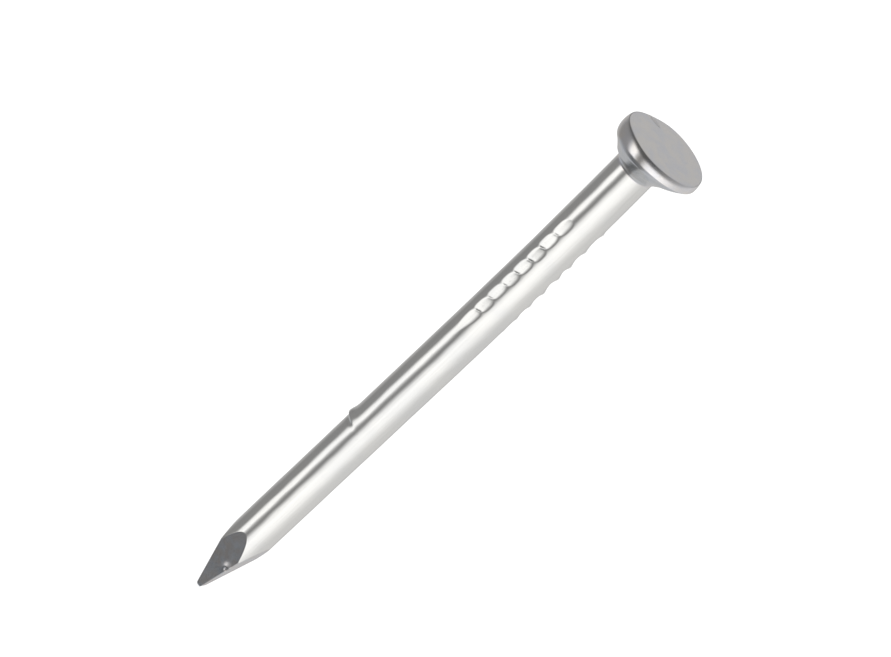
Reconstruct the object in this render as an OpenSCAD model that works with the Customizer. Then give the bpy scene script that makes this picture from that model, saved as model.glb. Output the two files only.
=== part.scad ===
// Round wire nail with a flat head, gripping-die marks and a four-sided diamond point.
// The wire's axis is Z. The origin is where that axis meets the striking face, and the tip points down.
// One length of wire makes the whole nail. Each node is the stretch, or the raised metal, that one
// stage of nail making forms, and neighbours meet face to face.

/* [Wire] */
// Diameter of the drawn wire
wire_d = 3.25; // [2.8:0.05:3.55]
// Overall length, from the striking face to the end of the tip
nail_len = 50.8; // [45:0.1:75]

/* [Head] */
// Diameter of the head at its widest
head_d = 7; // [6.4:0.1:7.6]
// Thickness of the head's rim
head_t = 1.3; // [1.2:0.05:1.4]
// Depth of the head's widest ring below the striking face
head_bulge_depth = 0.7; // [0.6:0.05:0.8]
// Radius of the rim's rounding above its widest ring, seen in section
head_upper_round = 2.4; // [1.6:0.1:2.6]
// Radius of the rim's rounding below its widest ring, seen in section
head_lower_round = 0.85; // [0.85:0.05:1.2]
// How far the upset head sits off the wire's axis, towards +X
head_offset = 0.28; // [0:0.02:0.4]

/* [Collar and neck] */
// Height of the collar, which leads from the off-centre head to the wire's own axis
collar_h = 0.45; // [0.4:0.05:0.6]
// Radius where the collar meets the neck
collar_r = 2.7; // [2.6:0.05:2.8]
// Slope of the neck's cone, measured from the wire's axis
neck_angle = 48; // [45:1:55]
// Radius of the fillet between the neck and the wire
neck_fillet = 0.6; // [0.4:0.05:0.8]

/* [Grip marks] */
// Depth of the first scallop's middle below the striking face
grip_top = 9.06; // [7:0.02:10]
// Distance from one scallop to the next
grip_pitch = 1.48; // [1.3:0.02:1.6]
// Number of scallops in each row
grip_count = 7; // [4:1:8]
// Depth of each scallop
grip_depth = 0.1; // [0.04:0.01:0.14]
// Width of the plain land between two scallops, which carries a raised crest
grip_land = 0.16; // [0.1:0.02:0.24]
// Height of each crest above the wire
crest_h = 0.05; // [0.02:0.01:0.08]
// How far round the wire each crest reaches
crest_sweep = 36; // [20:2:44]
// Number of rows around the wire, one for each die
grip_rows = 3; // [2:1:3]
// Direction of the first row around the wire
grip_angle = -100; // [-180:1:180]

/* [Shank burr] */
// Depth of the burr below the striking face
burr_depth = 31.9; // [26:0.1:36]
// Direction of the burr's middle around the wire
burr_angle = -132; // [-180:1:180]
// How far round the wire the burr reaches
burr_sweep = 64; // [20:2:90]
// Height of the burr above the wire
burr_h = 0.12; // [0.05:0.01:0.2]
// Width of the burr along the wire
burr_w = 0.34; // [0.2:0.02:0.6]

/* [Point] */
// Length of the four facets along the wire
point_len = 6.4; // [5:0.1:8]
// How much thinner the cutters draw the wire by the time it reaches its end
point_draw = 0.04; // [0.02:0.01:0.1]
// Width of the blunt end across its flats
tip_w = 0.28; // [0.2:0.02:0.5]
// Length of the tip that the cutters leave blunt
tip_len = 0.5; // [0.4:0.05:1]
// Height of the flash flake above the end of the tip
flake_height = 3.2; // [2.6:0.1:4]
// Distance of the flake from the middle of its facet, towards the next one
flake_side = 0.7; // [0:0.05:0.7]
// Radius of the flash flake
flake_r = 0.14; // [0.1:0.01:0.2]

/* [Hidden] */
$fn = 96;

wire_r = wire_d / 2;
head_r = head_d / 2;
cut = 4 * wire_d;                       // size of a cutting block, larger than the wire

// Radius of the head's side at its lower edge.
head_foot_r = head_r - head_lower_round
            + sqrt(pow(head_lower_round, 2) - pow(head_t - head_bulge_depth, 2));

collar_bottom = -head_t - collar_h;
neck_run = (collar_r - wire_r - neck_fillet * (1 - cos(neck_angle))) / tan(neck_angle);
neck_bottom = collar_bottom - neck_run - neck_fillet * sin(neck_angle);

// The gripped stretch keeps some plain wire at each end. An even number of scallops has one more pitch
// of plain wire below it, so that the middle height is always a land and never a dent.
spare_pitch = (grip_count + 1) % 2;
grip_node_top = -grip_top + 1.6 * grip_pitch;
grip_node_bottom = -grip_top - (grip_count - 0.4 + spare_pitch) * grip_pitch;
half_scallop = (grip_pitch - grip_land) / 2;
scallop_r = (pow(half_scallop, 2) + pow(grip_depth, 2)) / (2 * grip_depth);

point_top = -nail_len + point_len;
tip_top = -nail_len + tip_len;
facet_slope = (wire_r - tip_w / 2) / point_len;     // outward rise of a facet along the wire

// Radius of the drawn-down wire at a height, before the facets are cut.
function blank_r(height) = wire_r - point_draw / 2 * (point_top - height) / point_len;

// A plain stretch of wire between two heights.
module wire(bottom, top) {
    translate([0, 0, bottom]) cylinder(d = wire_d, h = top - bottom);
}

// One rounded band of the head's rim, between two heights.
module rim_band(bottom, top, round_r) {
    core_r = head_r - round_r;
    rotate_extrude()
    intersection() {
        translate([0, bottom]) square([head_r, top - bottom]);
        union() {
            translate([0, bottom]) square([core_r, top - bottom]);
            translate([core_r, -head_bulge_depth]) circle(r = round_r);
        }
    }
}

// The upset disc: a flat striking face, and a rim that bulges all round.
module head() {
    color("silver")
    translate([head_offset, 0, 0]) {
        rim_band(-head_bulge_depth, 0, head_upper_round);
        rim_band(-head_t, -head_bulge_depth, head_lower_round);
    }
}

// An oblique cone under the head, from the head's axis to the wire's axis.
module collar() {
    lean = head_offset / collar_h;
    color("lightgray")
    translate([0, 0, collar_bottom])
    multmatrix([[1, 0, lean, 0], [0, 1, 0, 0], [0, 0, 1, 0], [0, 0, 0, 1]])
    cylinder(r1 = collar_r, r2 = head_foot_r, h = collar_h);
}

// The cone below the collar, with a fillet that runs out into the wire.
module neck() {
    fillet_x = wire_r + neck_fillet;
    cone_foot = [fillet_x - neck_fillet * cos(neck_angle), neck_bottom + neck_fillet * sin(neck_angle)];
    color("gray")
    rotate_extrude()
    difference() {
        polygon([[0, collar_bottom], [collar_r, collar_bottom], cone_foot,
                 [fillet_x, neck_bottom], [0, neck_bottom]]);
        translate([fillet_x, neck_bottom]) circle(r = neck_fillet);
    }
}

module upper_shank() {
    color("silver") wire(grip_node_top, neck_bottom);
}

// A lip with a triangular section on part of the wire's surface, at the height z = 0.
module lip(width, height, angle, sweep) {
    rotate([0, 0, angle - sweep / 2])
    rotate_extrude(angle = sweep)
    polygon([[wire_r, -width / 2], [wire_r + height, 0], [wire_r, width / 2]]);
}

// One shallow dent across the wire, from a tooth of the gripping die. Its cutter reaches only just past
// the wire, so that neighbouring cutters stay apart.
module scallop(angle, height) {
    rotate([0, 0, angle])
    translate([0, 0, height])
    rotate([90, 0, 0])
    linear_extrude(height = wire_r, center = true)
    intersection() {
        translate([wire_r - grip_depth + scallop_r, 0]) circle(r = scallop_r);
        translate([wire_r - 2 * grip_depth, -grip_pitch / 2]) square([2.1 * grip_depth, grip_pitch]);
    }
}

// The stretch that the gripping dies hold while the head is struck.
module grip_shank() {
    color("lightgray")
    rotate([0, 0, grip_angle])
    difference() {
        wire(grip_node_bottom, grip_node_top);
        for (row = [0 : grip_rows - 1], mark = [0 : grip_count - 1])
            scallop(row * 360 / grip_rows, -grip_top - mark * grip_pitch);
    }
}

// The metal that the dies squeeze up beside each scallop.
module grip_crests() {
    color("gray")
    for (row = [0 : grip_rows - 1], crest = [0 : grip_count])
        translate([0, 0, -grip_top + (0.5 - crest) * grip_pitch])
        lip(grip_land, crest_h, grip_angle + row * 360 / grip_rows, crest_sweep);
}

module lower_shank() {
    color("silver") wire(point_top, grip_node_bottom);
}

// A thin ragged edge raised across part of the wire.
module shank_burr() {
    color("gray")
    translate([0, 0, -burr_depth])
    lip(burr_w, burr_h, burr_angle, burr_sweep);
}

// The sharpened end between two heights, with a facet towards each of +X, +Y, -X and -Y.
module sharpened(bottom, top) {
    difference() {
        translate([0, 0, bottom])
        cylinder(r1 = blank_r(bottom), r2 = blank_r(top), h = top - bottom);
        for (angle = [0 : 90 : 270])
            rotate([0, 0, angle])
            translate([tip_w / 2, 0, -nail_len])
            rotate([0, atan(facet_slope), 0])
            translate([0, -cut / 2, -cut])
            cube([cut, cut, 3 * cut]);
    }
}

module point() {
    color("gray") sharpened(tip_top, point_top);
}

// A flake of flash near the ridge between two facets, where the cutters' edges met.
module point_flash() {
    facet_at_flake = tip_w / 2 + flake_height * facet_slope;
    color("dimgray")
    difference() {
        translate([flake_side, -facet_at_flake, -nail_len + flake_height]) sphere(r = flake_r, $fn = 32);
        sharpened(tip_top, point_top);
    }
}

// The blunt end that is left where the cutters meet, with its corners broken.
module tip() {
    color("dimgray")
    intersection() {
        sharpened(-nail_len, tip_top);
        translate([0, 0, -nail_len]) cylinder(r1 = tip_w / 2, r2 = tip_w / 2 + tip_len, h = tip_len);
    }
}

head();
collar();
neck();
upper_shank();
grip_shank();
grip_crests();
lower_shank();
shank_burr();
point();
point_flash();
tip();
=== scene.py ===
"""A bright round wire nail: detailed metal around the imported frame, on a pale floor in soft light.

The wire's axis is Z, the striking face is at the top and the point is at the bottom. Angles around the
wire are mathematical, from +X towards +Y. The metal is worked out in millimetres and scaled to metres
as each mesh is made.
"""
import math

import bpy
import numpy as np
from mathutils import Matrix, Vector


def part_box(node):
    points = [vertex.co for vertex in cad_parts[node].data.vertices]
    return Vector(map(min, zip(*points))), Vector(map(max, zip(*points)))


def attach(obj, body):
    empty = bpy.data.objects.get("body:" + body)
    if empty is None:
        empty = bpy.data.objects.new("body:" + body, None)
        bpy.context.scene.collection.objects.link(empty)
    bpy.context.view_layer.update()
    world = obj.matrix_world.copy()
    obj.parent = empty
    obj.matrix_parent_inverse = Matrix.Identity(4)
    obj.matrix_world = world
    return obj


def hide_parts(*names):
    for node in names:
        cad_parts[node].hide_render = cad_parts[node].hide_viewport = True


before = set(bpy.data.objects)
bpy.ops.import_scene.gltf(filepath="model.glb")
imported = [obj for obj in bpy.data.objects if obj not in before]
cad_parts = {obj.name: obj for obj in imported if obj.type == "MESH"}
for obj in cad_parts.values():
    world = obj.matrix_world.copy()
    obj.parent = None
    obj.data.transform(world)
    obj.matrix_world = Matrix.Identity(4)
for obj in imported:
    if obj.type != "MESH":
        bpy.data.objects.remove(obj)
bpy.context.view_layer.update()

MM = 0.001


# ---------------------------------------------------------------- sizes from the frame, in millimetres

def cad(node):
    """Lowest and highest corner of a CAD node."""
    low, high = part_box(node)
    return np.array(low) / MM, np.array(high) / MM


TIP_END = cad("tip")[0][2]
TIP_TOP = cad("tip")[1][2]
POINT_TOP = cad("point")[1][2]
GRIP_BOTTOM = cad("grip_shank")[0][2]
GRIP_TOP = cad("grip_shank")[1][2]
NECK_BOTTOM = cad("neck")[0][2]
NECK_TOP = cad("neck")[1][2]
RIM_BOTTOM = cad("head")[0][2]
HEAD_LOW, HEAD_HIGH = cad("head")
WIRE_R = (cad("upper_shank")[1][0] - cad("upper_shank")[0][0]) / 2
HEAD_SPREAD = 0.05                  # how much larger this head's radius is than the frame's
HEAD_R = (HEAD_HIGH[0] - HEAD_LOW[0]) / 2 + HEAD_SPREAD
HEAD_SHIFT = (HEAD_HIGH[0] + HEAD_LOW[0]) / 2
CREST_LOW, CREST_HIGH = cad("grip_crests")[0][2], cad("grip_crests")[1][2]
BURR_HEIGHT = (cad("shank_burr")[0][2] + cad("shank_burr")[1][2]) / 2

# ---------------------------------------------------------------- camera

AZIMUTH = math.radians(16)          # from -Y towards +X
ELEVATION = math.radians(24.72)
NAIL_SLANT = math.radians(43.3)     # the nail's axis above the picture's level line
DISTANCE = 623 * MM
LENS = 349.7                        # long, so there is little perspective
AIM_ACROSS = 1.21                   # where the camera aims, measured from the nail's middle in the picture
AIM_UP = 2.98
FACING = AZIMUTH - math.pi / 2      # direction around the wire that faces the camera


def toward_camera(azimuth, elevation):
    return Vector((math.sin(azimuth) * math.cos(elevation),
                   -math.cos(azimuth) * math.cos(elevation), math.sin(elevation)))


def add_camera():
    back = toward_camera(AZIMUTH, ELEVATION)
    side = Vector((math.cos(AZIMUTH), math.sin(AZIMUTH), 0))
    rise = back.cross(side)
    picture_x = math.cos(NAIL_SLANT) * rise + math.sin(NAIL_SLANT) * side
    picture_y = math.sin(NAIL_SLANT) * rise - math.cos(NAIL_SLANT) * side
    aim = Vector((0, 0, TIP_END / 2 * MM)) + picture_x * AIM_ACROSS * MM + picture_y * AIM_UP * MM
    data = bpy.data.cameras.new("camera")
    data.lens = LENS
    data.sensor_width = 36
    data.clip_start = 0.01
    data.clip_end = 20
    camera = bpy.data.objects.new("camera", data)
    turn = Matrix((picture_x, picture_y, back)).transposed().to_4x4()
    camera.matrix_world = Matrix.Translation(aim + back * DISTANCE) @ turn
    bpy.context.scene.collection.objects.link(camera)
    bpy.context.scene.camera = camera


# ---------------------------------------------------------------- node helpers

class Nodes:
    """A short way to build a node tree."""

    def __init__(self, tree):
        self.tree = tree
        tree.nodes.clear()

    def add(self, kind, inputs=None, **settings):
        node = self.tree.nodes.new("ShaderNode" + kind)
        for name, value in settings.items():
            setattr(node, name, value)
        for name, value in (inputs or {}).items():
            if isinstance(value, bpy.types.NodeSocket):
                self.tree.links.new(value, node.inputs[name])
            else:
                node.inputs[name].default_value = value
        return node

    def math(self, operation, a, b=0.0, clamp=False):
        return self.add("Math", {0: a, 1: b}, operation=operation, use_clamp=clamp).outputs[0]

    def smooth(self, value, low, high):
        """0 below low, 1 above high, with a soft step between."""
        return self.add("MapRange", {"Value": value, "From Min": low, "From Max": high},
                        interpolation_type="SMOOTHSTEP").outputs[0]

    def mix(self, factor, a, b):
        node = self.add("Mix", data_type="RGBA")
        for socket, value in ((node.inputs[0], factor), (node.inputs[6], a), (node.inputs[7], b)):
            if isinstance(value, bpy.types.NodeSocket):
                self.tree.links.new(value, socket)
            else:
                socket.default_value = value
        return node.outputs[2]

    def ramp(self, factor, stops):
        """A colour ramp of (position, colour) stops."""
        node = self.add("ValToRGB", {0: factor})
        ramp = node.color_ramp
        while len(ramp.elements) > 1:
            ramp.elements.remove(ramp.elements[-1])
        ramp.elements[0].position = stops[0][0]
        ramp.elements[0].color = stops[0][1]
        for position, colour in stops[1:]:
            ramp.elements.new(position).color = colour
        return node.outputs[0]


def grey(level, warmth=0.0):
    return (level * (1 + warmth), level, level * (1 - warmth), 1)


# ---------------------------------------------------------------- studio

# Brightness of the panels around the nail, as (direction, brightness). Directions are in degrees from
# the camera, positive to the right. The nail is nearly a mirror, so these panels are what its bright and
# dark bands reflect, and they were placed to put the bands where the photographed nail has them.
# One ring of panels lies level with the nail or a little below it.
LOW_PANELS = [
    (-180, 0.50), (-145, 0.50), (-120, 0.29), (-78, 0.29), (-64, 1.20), (-48, 1.30), (-38, 0.50),
    (-28, 0.25), (-20, 0.30), (-4, 1.05), (14, 1.30), (40, 1.20), (72, 0.85), (92, 0.74),
    (130, 0.70), (180, 0.50),
]
# A dark gap above that ring, then the rest of the room above the gap.
GAP_PANELS = [(-180, 0.20), (-70, 0.10), (10, 0.10), (60, 0.35), (120, 0.50), (180, 0.20)]
HIGH_PANELS = [(-180, 0.55), (-120, 0.45), (-60, 0.15), (10, 0.15), (110, 0.50), (180, 0.55)]
# Below the ring: dark on the camera's left, paler to its right.
FOOT_PANELS = [(-180, 0.50), (-130, 0.50), (-90, 0.30), (-60, 0.15), (-8, 0.20), (8, 0.48), (60, 0.60),
               (180, 0.50)]
PANEL_SCALE = 1.6                   # ramps hold colours up to 1, so the brightest panel is below this
# Heights over which one ring gives way to the next, from -1 straight down to 1 straight up.
FOOT_TO_LOW = (-0.70, -0.62)
LOW_TO_GAP = (-0.20, -0.06)
GAP_TO_HIGH = (0.12, 0.34)
HIGH_TO_CEILING = (0.70, 0.97)
CEILING = 0.30


def add_world():
    """The panels light the nail and show in its metal. Where the camera looks past the floor, it sees
    plain white instead of them."""
    world = bpy.data.worlds.new("studio")
    bpy.context.scene.world = world
    world.use_nodes = True
    n = Nodes(world.node_tree)
    direction = n.add("TexCoord").outputs["Generated"]
    axes = n.add("SeparateXYZ", {0: direction})
    around = n.math("ARCTAN2", axes.outputs["Y"], axes.outputs["X"])
    turned = n.math("ADD", n.math("DIVIDE", n.math("SUBTRACT", around, FACING), 2 * math.pi), 1.5)
    place = n.math("FRACT", turned)

    def panels(table, warmth=0.0):
        stops = [((angle + 180) / 360, grey(level / PANEL_SCALE, warmth)) for angle, level in table]
        return n.ramp(place, stops)

    height = axes.outputs["Z"]
    foot = panels(FOOT_PANELS, -0.03)
    ring = n.mix(n.smooth(height, *FOOT_TO_LOW), foot, panels(LOW_PANELS, 0.01))
    gap = n.mix(n.smooth(height, *LOW_TO_GAP), ring, panels(GAP_PANELS))
    upper = n.mix(n.smooth(height, *GAP_TO_HIGH), gap, panels(HIGH_PANELS))
    room = n.mix(n.smooth(height, *HIGH_TO_CEILING), upper, grey(CEILING))
    light = n.add("Background", {"Color": room, "Strength": PANEL_SCALE})
    seen = n.add("Background", {"Color": grey(1.0), "Strength": 1.0})
    path = n.add("LightPath")
    both = n.add("MixShader", {0: path.outputs["Is Camera Ray"], 1: light.outputs[0], 2: seen.outputs[0]})
    n.add("OutputWorld", {"Surface": both.outputs[0]})


FLOOR_HALF = 6.0                    # metres from the floor's middle to its edge


def add_floor():
    """Paper at the tip's level, which fills the picture behind the nail in the photographed view. It gives
    off light of its own, so that it looks as white as the photographed ground. The metal doesn't reflect
    it, and light from below passes it."""
    material = bpy.data.materials.new("floor_paper")
    material.use_nodes = True
    n = Nodes(material.node_tree)
    place = n.add("TexCoord").outputs["Object"]
    fibre = n.add("TexNoise", {"Vector": place, "Scale": 900.0, "Detail": 3.0}).outputs["Fac"]
    tone = n.mix(fibre, grey(0.87), grey(0.90))
    surface = n.add("BsdfPrincipled", {"Base Color": tone, "Roughness": 0.9, "Emission Strength": 0.80,
                                       "Emission Color": grey(1.0)})
    n.add("OutputMaterial", {"Surface": surface.outputs[0]})
    level = TIP_END * MM
    corners = [(x * FLOOR_HALF, y * FLOOR_HALF, level) for x, y in ((-1, -1), (1, -1), (1, 1), (-1, 1))]
    mesh = bpy.data.meshes.new("floor")
    mesh.from_pydata(corners, [], [(0, 1, 2, 3)])
    mesh.materials.append(material)
    floor = bpy.data.objects.new("floor", mesh)
    bpy.context.scene.collection.objects.link(floor)
    floor.visible_glossy = False
    floor.visible_shadow = False


# ---------------------------------------------------------------- metal

def metal(name, colours, roughness, grain, bump, mottle=0.25, cut=None):
    """Bright steel. grain is how many times finer its lines are across the wire than along it. cut holds
    the colour and roughness of the faces that the cutters leave."""
    material = bpy.data.materials.new(name)
    material.use_nodes = True
    n = Nodes(material.node_tree)
    place = n.add("TexCoord").outputs["Object"]
    lengthwise = n.add("Mapping", {"Vector": place, "Scale": (1 / MM, 1 / MM, 1 / MM / grain)}).outputs[0]
    plain = n.add("Mapping", {"Vector": place, "Scale": (1 / MM, 1 / MM, 1 / MM)}).outputs[0]
    lines = n.add("TexNoise", {"Vector": lengthwise, "Scale": 9.0, "Detail": 4.0, "Roughness": 0.6})
    cloud = n.add("TexNoise", {"Vector": plain, "Scale": mottle, "Detail": 3.0, "Roughness": 0.55})
    specks = n.add("TexNoise", {"Vector": plain, "Scale": 6.0, "Detail": 2.0})
    pit = n.smooth(specks.outputs["Fac"], 0.66, 0.74)
    base = n.mix(n.smooth(cloud.outputs["Fac"], 0.38, 0.62), colours[0], colours[1])
    worn = n.mix(n.math("MULTIPLY", n.smooth(lines.outputs["Fac"], 0.45, 0.75), 0.35), base, colours[2])
    colour = n.mix(n.math("MULTIPLY", pit, 0.5), worn, colours[2])
    low, high = roughness
    amount = n.math("ADD", n.math("MULTIPLY", lines.outputs["Fac"], 0.6),
                    n.math("MULTIPLY", cloud.outputs["Fac"], 0.4))
    rough = n.add("MapRange", {"Value": amount, "From Min": 0.35, "From Max": 0.65,
                               "To Min": low, "To Max": high}).outputs[0]
    if cut:
        share = n.add("Attribute", attribute_name="facet").outputs["Fac"]
        streaks = n.add("TexNoise", {"Vector": plain, "Scale": 1.5, "Detail": 4.0}).outputs["Fac"]
        shade = n.mix(n.smooth(streaks, 0.30, 0.70), cut[0], cut[1])
        colour = n.mix(share, colour, shade)
        rough = n.math("ADD", rough, n.math("MULTIPLY", share, cut[2]))
    relief = n.math("SUBTRACT", n.math("MULTIPLY", lines.outputs["Fac"], 0.5), pit)
    normal = n.add("Bump", {"Height": relief, "Strength": bump, "Distance": 0.004 * MM}).outputs[0]
    surface = n.add("BsdfPrincipled", {"Base Color": colour, "Metallic": 1.0, "Roughness": rough,
                                       "Normal": normal})
    n.add("OutputMaterial", {"Surface": surface.outputs[0]})
    return material


WIRE_COLOURS = ((0.80, 0.80, 0.785, 1), (0.77, 0.775, 0.77, 1), (0.70, 0.70, 0.68, 1))
HEAD_COLOURS = ((0.81, 0.785, 0.765, 1), (0.765, 0.765, 0.795, 1), (0.72, 0.69, 0.67, 1))
CUT_COLOURS = ((0.69, 0.71, 0.75, 1), (0.68, 0.64, 0.62, 1), 0.08)


def steels():
    return {
        "wire_steel": metal("wire_steel", WIRE_COLOURS, (0.12, 0.19), 60, 0.30),
        "head_steel": metal("head_steel", HEAD_COLOURS, (0.15, 0.22), 1, 0.2, 0.75),
        "cut_steel": metal("cut_steel", WIRE_COLOURS, (0.12, 0.19), 60, 0.30, cut=CUT_COLOURS),
    }


# ---------------------------------------------------------------- the metal's shape

RIDGES = [math.radians(45 + 90 * k) for k in range(4)]
SWELL = 0.035                       # how much thicker the wire's radius gets above the point
SWELL_TOP = -20.0                   # height from which it is at its full thickness
RIDGE_ROW = math.radians(0.5)       # rows of points this far each side of a ridge keep it narrow


def row_angles(count=240):
    """Directions of a row's points: even, with a close pair beside each ridge of the point."""
    even = np.arange(count) * 2 * math.pi / count
    beside = [ridge + side * RIDGE_ROW for ridge in RIDGES for side in (-1, 1)]
    return np.sort(np.concatenate([even, beside]))


ANGLES = row_angles()


def turn_between(angle, centre):
    """The turn from a direction to each angle, between -pi and pi."""
    return (angle - centre + math.pi) % (2 * math.pi) - math.pi


def facing(degrees):
    """A direction given in degrees to the right of the camera's side of the wire."""
    return FACING + math.radians(degrees)


def bell(value, width):
    """1 at zero, falling smoothly on both sides."""
    return np.exp(-(value / width) ** 2)


def smooth_step(value, low, high):
    """0 below low, 1 above high, with a soft step between."""
    share = np.clip((value - low) / (high - low), 0, 1)
    return share * share * (3 - 2 * share)


def soft_least(a, b, width):
    """The smaller of a and b, with the corner between them rounded over a width."""
    h = np.clip(0.5 + 0.5 * (b - a) / width, 0, 1)
    return b * (1 - h) + a * h - width * h * (1 - h)


def waves(height, angle, seed, count, length, size, turns_range):
    """A smooth random relief, the sum of a few slow waves along and around the wire."""
    rng = np.random.default_rng(seed)
    total = 0
    for _ in range(count):
        turns = int(rng.integers(*turns_range))
        along = 2 * math.pi / (length * rng.uniform(0.6, 1.6)) * rng.choice([-1, 1])
        total = total + np.cos(turns * angle + along * height + rng.uniform(0, 2 * math.pi))
    return size * total / math.sqrt(count)


def relief(height, angle):
    """The drawn wire's own unevenness: slow swells, and small ripples that make highlights wander."""
    return (waves(height, angle, 11, 9, 9.0, 0.0035, (1, 5))
            + waves(height, angle, 23, 16, 2.6, 0.0016, (5, 15)))


def ring(radius, height, centre_x=0.0, angles=ANGLES):
    """One row of points around the axis. radius and height are numbers or one value per angle."""
    radius = radius + 0 * angles
    return np.stack([centre_x + radius * np.cos(angles), radius * np.sin(angles), height + 0 * angles], 1)


def swell(height):
    """The wire is a little thicker from its middle up than at the point."""
    return SWELL * smooth_step(height, POINT_TOP, SWELL_TOP)


# ------------------------------------ grip marks

MARKS = 7                           # scallops in a row
LAND = 0.16                         # plain wire between two scallops
# How far each crest of a row sits from an even spacing, from the bottom one up. The third row's are random.
FRONT_CRESTS = [0, -0.05, -0.05, -0.2, -0.25, -0.35, -0.35, -0.2]
RIGHT_CRESTS = [-0.3, -0.4, -0.45, -0.45, -0.35, -0.5, -0.35, 0.1]
FAINT_LENGTH = 2.6                  # one more dent below the rest, long and faint
FAINT_DEEPEST = 0.78                # its deepest place, as a share of the way up
CREST_WIDTH = 0.17                  # of the raised metal, along the wire
CREST_SWEEP = math.radians(22)      # and around it
DENT_SOFTNESS = 0.045               # how gently a dent's sides run out into the wire


class GripRow:
    """One die's marks: crests across the wire, and between them dents with soft sides.

    side is the row's direction in degrees to the right of the camera's side. rise is how high a crest
    stands and depth how deep a dent is. deepest is the share of the way up a dent at which it is deepest.
    lean is how far a crest climbs for each radian around the wire. fade holds the numbers of the dents
    at which the marks start and are full.
    """

    def __init__(self, side, offsets, rise, depth, deepest, lean, fade, seed):
        rng = np.random.default_rng(seed)
        self.direction = facing(side)
        even = np.linspace(CREST_LOW + LAND / 2, CREST_HIGH - LAND / 2, MARKS + 1)
        crests = even + (rng.uniform(-0.3, 0.2, MARKS + 1) if offsets is None else np.array(offsets))
        growth = smooth_step(np.arange(MARKS + 2), *fade)
        self.edges = np.concatenate([[crests[0] - FAINT_LENGTH], crests])
        self.rises = rise * rng.uniform(0.75, 1.25, MARKS + 2) * growth
        self.rises[0] = 0
        self.depths = depth * rng.uniform(0.85, 1.15, MARKS + 1) * growth[:-1]
        self.turns = np.radians(rng.uniform(-2.0, 2.0, MARKS + 1))
        self.deepest = np.full(MARKS + 1, deepest)
        self.deepest[0] = FAINT_DEEPEST
        self.lean = lean

    def dip(self, share, deepest):
        """0 at both crests and 1 at the deepest place, which lies at a share of the way up."""
        warped = share ** (math.log(0.5) / math.log(deepest))
        return 1 - abs(2 * warped - 1) ** 3

    def cut(self, radius, height):
        """The wire's radius in each direction at one height, after this row has marked it."""
        middle = turn_between(ANGLES, self.direction)
        level = height - self.lean * np.clip(middle, -0.7, 0.7)
        for edge, rise in zip(self.edges, self.rises):
            radius = radius + rise * bell(level - edge, CREST_WIDTH) * bell(middle, CREST_SWEEP)
        for k, depth in enumerate(self.depths):
            low, high = self.edges[k], self.edges[k + 1]
            share = np.clip((level - low) / (high - low), 0, 1)
            rise = self.rises[k] * (1 - share) + self.rises[k + 1] * share
            dip = self.dip(share, self.deepest[k])
            floor = WIRE_R + swell(height) + rise - (rise + depth) * dip
            flat = floor / np.maximum(np.cos(middle - self.turns[k]), 0.2)
            inside = (abs(middle) < 1) & (share > 0) & (share < 1)
            radius = np.where(inside, soft_least(radius, flat, 0.003 + DENT_SOFTNESS * dip), radius)
        return radius


GRIP_ROWS = [
    GripRow(-24, FRONT_CRESTS, rise=0.003, depth=0.050, deepest=0.45, lean=0.85, fade=(-1.2, 1.0), seed=5),
    GripRow(93, RIGHT_CRESTS, rise=0.055, depth=0.090, deepest=0.60, lean=0.0, fade=(0.0, 3.5), seed=6),
    GripRow(217, None, rise=0.040, depth=0.050, deepest=0.55, lean=0.4, fade=(-1.2, 1.0), seed=7),
]


def scalloped(radius, height):
    for row in GRIP_ROWS:
        radius = row.cut(radius, height)
    return radius


# ------------------------------------ burr

BURR_SIDE = facing(-80)
BURR_LOWER = 0.2                    # the lip stands this far below the CAD burr's middle
BURR_RISE = 0.17
BURR_STEEP, BURR_GENTLE = 0.13, 0.48    # the lip's reach towards the point and towards the head
BURR_SWEEP = math.radians(28)
BURR_HOLLOW = 0.05                  # depth of the hollow below the lip
BURR_HOLLOW_DROP = 0.28             # how far below the lip it lies
BURR_HOLLOW_LENGTH = 0.22
BURR_HOLLOW_TURN = math.radians(30)     # how far round from the lip it lies
BURR_HOLLOW_SWEEP = math.radians(22)


def burr(height):
    """The rise of the burr above the wire, at one height: a lip that is steep towards the point and
    gentle towards the head, and a hollow below it."""
    turn = turn_between(ANGLES, BURR_SIDE)
    lift = height - BURR_HEIGHT + BURR_LOWER
    lip = BURR_RISE * bell(lift, BURR_STEEP if lift < 0 else BURR_GENTLE) * bell(turn, BURR_SWEEP)
    along = bell(lift + BURR_HOLLOW_DROP, BURR_HOLLOW_LENGTH)
    hollow = BURR_HOLLOW * along * bell(turn - BURR_HOLLOW_TURN, BURR_HOLLOW_SWEEP)
    return lip - hollow


def wire_ring(height):
    """One row of the round wire, with its grip marks and its burr."""
    radius = WIRE_R + swell(height) + relief(height, ANGLES)
    if CREST_LOW - 4 < height < CREST_HIGH + 1:
        radius = scalloped(radius, height)
    if abs(height - BURR_HEIGHT) < 3:
        radius = radius + burr(height)
    return ring(radius, height)


# ------------------------------------ point

END_HALF_X, END_HALF_Y = 0.18, 0.33     # the blunt end is oblong
RIDGE_POWER = 34                    # a high power keeps the ridges narrow
TIP_DOME = 0.35                     # length of the rounded end
TIP_BLUNTNESS = 0.6                 # 1 is a full round, and less is blunter
FACET_SOFTNESS = 0.007              # rounding where a facet meets the round wire


def halves(height):
    """Half of the point's width along X and along Y at a height."""
    share = (height - TIP_END) / (POINT_TOP - TIP_END)
    return END_HALF_X + (WIRE_R - END_HALF_X) * share, END_HALF_Y + (WIRE_R - END_HALF_Y) * share


def point_angles(height):
    """Directions of a row's points, which keep the same points on the ridges all the way up."""
    half_x, half_y = halves(np.minimum(height, POINT_TOP))
    return np.arctan2(half_y * np.sin(ANGLES), half_x * np.cos(ANGLES))


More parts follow.
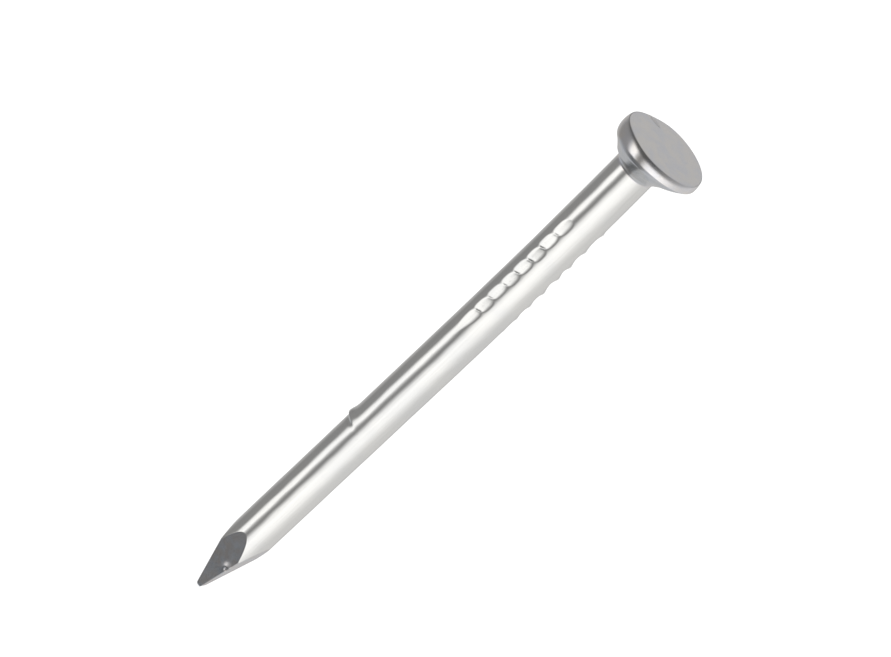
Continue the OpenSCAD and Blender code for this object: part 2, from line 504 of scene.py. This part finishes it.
def facet_radius(height):
    """Radius of an oblong with narrowly rounded corners."""
    half_x, half_y = halves(height)
    angle = point_angles(height)
    across, along = abs(np.cos(angle)) / half_x, abs(np.sin(angle)) / half_y
    return (across ** RIDGE_POWER + along ** RIDGE_POWER) ** (-1 / RIDGE_POWER)


def facet_edge():
    """Height where the facets run out into the round wire, in each direction."""
    low, high = TIP_TOP + 0 * ANGLES, POINT_TOP + 0.3 + 0 * ANGLES
    for _ in range(24):
        middle = (low + high) / 2
        outside = facet_radius(middle) > WIRE_R
        low, high = np.where(outside, low, middle), np.where(outside, middle, high)
    return high


def tip_rings():
    """Rows of the blunt end: a dome, then the start of the facets."""
    rows = []
    for a in np.linspace(0, math.pi / 2, 13)[1:]:
        height = TIP_END + TIP_DOME * (1 - math.cos(a))
        radius = facet_radius(height) * math.sin(a) ** TIP_BLUNTNESS
        rows.append(ring(radius, height, angles=point_angles(height)))
    for height in np.linspace(TIP_END + TIP_DOME, TIP_TOP, 6)[1:]:
        rows.append(ring(facet_radius(height), height, angles=point_angles(height)))
    return rows


FLAKE_HEIGHT = TIP_END + 3.12
FLAKE_SIDE = math.radians(-90 + 36)
FLAKE_RISE, FLAKE_LENGTH, FLAKE_SWEEP = 0.085, 0.38, 0.24       # sweeps are in radians
FLAKE_HOLLOW, FLAKE_HOLLOW_LENGTH, FLAKE_HOLLOW_SWEEP = 0.11, 0.15, 0.11
FLAKE_HOLLOW_DROP, FLAKE_HOLLOW_TURN = 0.10, 0.04               # from the flake to its hollow


def flake(height, angle):
    """A flake of flash beside the ridge, with a small hollow next to it."""
    turn = turn_between(angle, FLAKE_SIDE)
    lift = height - FLAKE_HEIGHT
    rise = FLAKE_RISE * bell(lift, FLAKE_LENGTH) * bell(turn, FLAKE_SWEEP)
    along = bell(lift + FLAKE_HOLLOW_DROP, FLAKE_HOLLOW_LENGTH)
    hollow = FLAKE_HOLLOW * along * bell(turn - FLAKE_HOLLOW_TURN, FLAKE_HOLLOW_SWEEP)
    return rise - hollow


def point_row(height):
    """One row of the point. height is a number or one value per angle."""
    angle = point_angles(height)
    wire = WIRE_R + relief(height, angle) * smooth_step(height, TIP_TOP, POINT_TOP)
    radius = soft_least(facet_radius(height), wire, FACET_SOFTNESS) + flake(height, angle)
    return ring(radius, height, angles=angle)


def point_rings(top):
    """Rows that follow the facets' curved edges, so those edges stay crisp."""
    edge = facet_edge()
    rows = []
    near = 1 - (1 - np.linspace(0, 1, 90)[1:]) ** 1.3
    for share in near:
        height = TIP_TOP + share * (edge - TIP_TOP)
        rows.append(point_row(height))
    for share in np.linspace(0, 1, 26)[1:] ** 1.6:
        height = edge + share * (top - edge)
        rows.append(point_row(height))
    return rows


def facet_share(points):
    """1 where a point lies on a facet, 0 where it lies on the round wire."""
    radius = np.hypot(points[:, 0], points[:, 1])
    return 1 - smooth_step(radius, WIRE_R - 0.03, WIRE_R - 0.004)


# ------------------------------------ head

WIDEST = -0.70                      # height of the rim's widest ring
UPPER_ROUND = 2.4                   # rounding of the rim above that ring, seen in section
LOWER_ROUND = 0.76                  # and below it
EDGE_ROUND = 0.13                   # between the rim and the striking face
NECK_SLOPE = math.radians(49)
NECK_FILLET = 0.60
# Where the rim isn't round, as (direction, how far it stands out, width in degrees).
RIM_SWELLS = [(facing(-138), -0.19, 27), (facing(-88), 0.08, 26), (facing(-42), -0.11, 24)]
UNDERSIDE_TILT = 0.32               # the rim is thicker on the camera's left than on its right
HEAD_BACK = 0.17                    # how far the head sits back from where the bent wire points


def head_profile():
    """(radius, height) from the end of the neck's fillet to the middle of the striking face."""
    points = []
    for a in np.linspace(0, NECK_SLOPE, 14):
        points.append((WIRE_R + NECK_FILLET * (1 - math.cos(a)), NECK_BOTTOM + NECK_FILLET * math.sin(a)))
    rim_x = HEAD_R - LOWER_ROUND
    foot = (rim_x + LOWER_ROUND * math.cos(NECK_SLOPE), WIDEST - LOWER_ROUND * math.sin(NECK_SLOPE))
    start = points[-1]
    for share in np.linspace(0, 1, 12)[1:-1]:
        points.append((start[0] + share * (foot[0] - start[0]), start[1] + share * (foot[1] - start[1])))
    for a in np.linspace(-NECK_SLOPE, 0, 12):
        points.append((rim_x + LOWER_ROUND * math.cos(a), WIDEST + LOWER_ROUND * math.sin(a)))
    upper_x = HEAD_R - UPPER_ROUND
    reach = UPPER_ROUND - EDGE_ROUND
    edge_x = upper_x + math.sqrt(reach ** 2 - (WIDEST + EDGE_ROUND) ** 2)
    stop = math.atan2(-EDGE_ROUND - WIDEST, edge_x - upper_x)
    for a in np.linspace(0, stop, 9)[1:]:
        points.append((upper_x + UPPER_ROUND * math.cos(a), WIDEST + UPPER_ROUND * math.sin(a)))
    for a in np.linspace(stop, math.pi / 2, 8)[1:]:
        points.append((edge_x + EDGE_ROUND * math.cos(a), -EDGE_ROUND + EDGE_ROUND * math.sin(a)))
    for share in np.linspace(1, 0.08, 56)[1:]:
        points.append((edge_x * share, 0.0))
    return points


NICK = facing(-138)                 # direction of a small nick in the striking face
NICK_RADIUS = 2.62                  # its distance from the middle of the face
NICK_DEPTH, NICK_LENGTH, NICK_WIDTH, NICK_SLANT = 0.15, 0.32, 0.13, 0.2


def nick(points):
    """The depth of the nick, a short hollow near the face's far edge."""
    at = np.array([math.cos(NICK), math.sin(NICK)]) * NICK_RADIUS + [HEAD_SHIFT, 0]
    away = points[:, :2] - at
    along = away @ [math.cos(facing(90)), math.sin(facing(90))]
    across = away @ [math.cos(FACING), math.sin(FACING)]
    return NICK_DEPTH * bell(along, NICK_LENGTH) * bell(across - NICK_SLANT * along, NICK_WIDTH)


def face_dip(points):
    """How far the striking face lies below level: its slight waviness and the nick."""
    waviness = 0.004 + 0.003 * np.cos(2.1 * points[:, 0]) * np.sin(1.7 * points[:, 1])
    return nick(points) + waviness


def head_ring(radius, height):
    """One row of the neck, collar or head. lean goes from 0 at the wire to 1 at the off-centre head."""
    lean = smooth_step(height, NECK_BOTTOM, RIM_BOTTOM)
    rim = float(np.clip((radius - WIRE_R) / (HEAD_R - WIRE_R), 0, 1))
    uneven = 0.02 * np.cos(3 * ANGLES + 0.7) + 0.012 * np.cos(5 * ANGLES + 2.1)
    for direction, stand, width in RIM_SWELLS:
        uneven = uneven + stand * bell(turn_between(ANGLES, direction), math.radians(width))
    shaped = radius * (1 + rim * uneven / HEAD_R)
    own = relief(height, ANGLES) * (1 - lean) + swell(height) * (1 - rim)
    points = ring(shaped + own, height, HEAD_SHIFT * lean)
    right = np.array([math.cos(facing(90)), math.sin(facing(90))])
    points[:, :2] += HEAD_BACK * lean * right
    under = min(1.0, 2.5 * rim) * smooth_step(-height, -WIDEST - 0.1, -WIDEST + 0.55)
    points[:, 2] += UNDERSIDE_TILT * under * np.cos(turn_between(ANGLES, facing(90)))
    if height > -0.01:
        points[:, 2] -= face_dip(points)
    return points


# ---------------------------------------------------------------- meshes

def spaced(low, high, step):
    """Heights above low up to high, about one step apart."""
    return list(np.linspace(low, high, max(2, int(round((high - low) / step)) + 1))[1:])


BURR_STEP = 0.03                    # distance between rows where the burr needs fine ones
GRIP_STEP = 0.032                   # and at the grip marks, which keeps that piece under 200,000 faces


def metal_rows():
    """Every row of the nail from the tip to the face, and the rows at which one piece ends."""
    rows, ends = [], {}

    def close(name):
        ends[name] = len(rows) - 1

    rows += tip_rings()
    close("tip")
    shank_start = POINT_TOP + 0.25
    rows += point_rings(shank_start)
    close("point")
    heights = spaced(shank_start, BURR_HEIGHT - 1.2, 0.2)
    heights += spaced(BURR_HEIGHT - 1.2, BURR_HEIGHT + 0.6, BURR_STEP)
    heights += spaced(BURR_HEIGHT + 0.6, BURR_HEIGHT + 3, 0.1)
    heights += spaced(BURR_HEIGHT + 3, GRIP_BOTTOM - 4, 0.2)
    heights += spaced(GRIP_BOTTOM - 4, GRIP_BOTTOM, 0.08)
    rows += [wire_ring(h) for h in heights]
    close("lower_shank")
    rows += [wire_ring(h) for h in spaced(GRIP_BOTTOM, GRIP_TOP, GRIP_STEP)]
    close("grip_shank")
    rows += [wire_ring(h) for h in spaced(GRIP_TOP, NECK_BOTTOM, 0.15)]
    close("upper_shank")
    for radius, height in head_profile()[1:]:
        rows.append(head_ring(radius, height))
        if "neck" not in ends and height > NECK_TOP:
            close("neck")
        if "collar" not in ends and height > RIM_BOTTOM:
            close("collar")
    close("head")
    return np.array(rows), ends


BEND_START = -22.5                  # the nail is straight below this height
BEND = 0.00080                      # sideways push for each square millimetre above there
BEND_SIDE = facing(-90)
TIP_LEAN = 0.020                    # the point's own lean to the same side


def bent(rows):
    """The rows with the nail's slight bend towards the camera's left. The head stays square to the
    straight part, as it was struck."""
    height = rows[:, :, 2]
    curved = np.clip(height, BEND_START, NECK_BOTTOM) - BEND_START
    upright = smooth_step(height, NECK_BOTTOM - 0.4, RIM_BOTTOM)
    side = np.array([math.cos(BEND_SIDE), math.sin(BEND_SIDE)])
    out = rows.copy()
    push = BEND * curved ** 2 + TIP_LEAN * (1 - smooth_step(height, TIP_END, POINT_TOP))
    out[:, :, :2] += push[:, :, None] * side
    out[:, :, 2] -= 2 * BEND * curved * (1 - upright) * (rows[:, :, :2] @ side)
    return out


def row_normals(rows):
    """A unit normal for each point, averaged over the faces around it, so that pieces meet unseen."""
    following = np.roll(rows, -1, axis=1)
    across = following[1:] - rows[:-1]
    other = rows[1:] - following[:-1]
    faces = np.cross(across, other)
    faces /= np.maximum(np.linalg.norm(faces, axis=2, keepdims=True), 1e-12)
    total = np.zeros_like(rows)
    for side in (faces, np.roll(faces, 1, axis=1)):
        total[:-1] += side
        total[1:] += side
    total /= np.maximum(np.linalg.norm(total, axis=2, keepdims=True), 1e-12)
    outward = np.sum(total[:, :, :2] * rows[:, :, :2])
    return total if outward > 0 else -total


def strip_mesh(name, rows, normals):
    """A closed mesh of some rows: smooth sides with the given normals, and a flat cap at each end."""
    count = len(ANGLES)
    points = rows.reshape(-1, 3) * MM
    faces, loop_normals = [], []
    flat = normals.reshape(-1, 3)
    for i in range(len(rows) - 1):
        for j in range(count):
            k = (j + 1) % count
            face = (i * count + j, i * count + k, (i + 1) * count + k, (i + 1) * count + j)
            faces.append(face)
            loop_normals += [flat[v] for v in face]
    last = (len(rows) - 1) * count
    faces.append(tuple(range(count - 1, -1, -1)))
    loop_normals += [(0, 0, -1)] * count
    faces.append(tuple(range(last, last + count)))
    loop_normals += [(0, 0, 1)] * count
    mesh = bpy.data.meshes.new(name)
    mesh.from_pydata([tuple(p) for p in points], [], faces)
    mesh.polygons.foreach_set("use_smooth", [True] * len(faces))
    mesh.normals_split_custom_set([tuple(v) for v in loop_normals])
    mesh.update()
    return mesh


def add_piece(name, mesh, material, nodes):
    """Put a mesh in the scene in place of its CAD nodes."""
    piece = bpy.data.objects.new(name, mesh)
    bpy.context.scene.collection.objects.link(piece)
    mesh.materials.append(material)
    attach(piece, "root")
    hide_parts(*nodes)
    return piece


# Each visible piece, its material slot and the CAD nodes it replaces, from the tip up.
PIECES = [
    ("tip", "cut_steel", ["tip"]),
    ("point", "cut_steel", ["point", "point_flash"]),
    ("lower_shank", "wire_steel", ["lower_shank", "shank_burr"]),
    ("grip_shank", "wire_steel", ["grip_shank", "grip_crests"]),
    ("upper_shank", "wire_steel", ["upper_shank"]),
    ("neck", "head_steel", ["neck"]),
    ("collar", "head_steel", ["collar"]),
    ("head", "head_steel", ["head"]),
]


def add_nail():
    """Work out the whole nail's rows at once, then make a closed mesh of each stretch."""
    straight, ends = metal_rows()
    rows = bent(straight)
    normals = row_normals(rows)
    materials = steels()
    first = 0
    for node, slot, nodes in PIECES:
        last = ends[node]
        mesh = strip_mesh("nail_" + node, rows[first:last + 1], normals[first:last + 1])
        if slot == "cut_steel":
            share = facet_share(straight[first:last + 1].reshape(-1, 3))
            mesh.attributes.new("facet", "FLOAT", "POINT").data.foreach_set("value", share)
        add_piece("nail_" + node, mesh, materials[slot], nodes)
        first = last


add_camera()
add_world()
add_floor()
add_nail()
bpy.context.scene.view_settings.view_transform = "Standard"
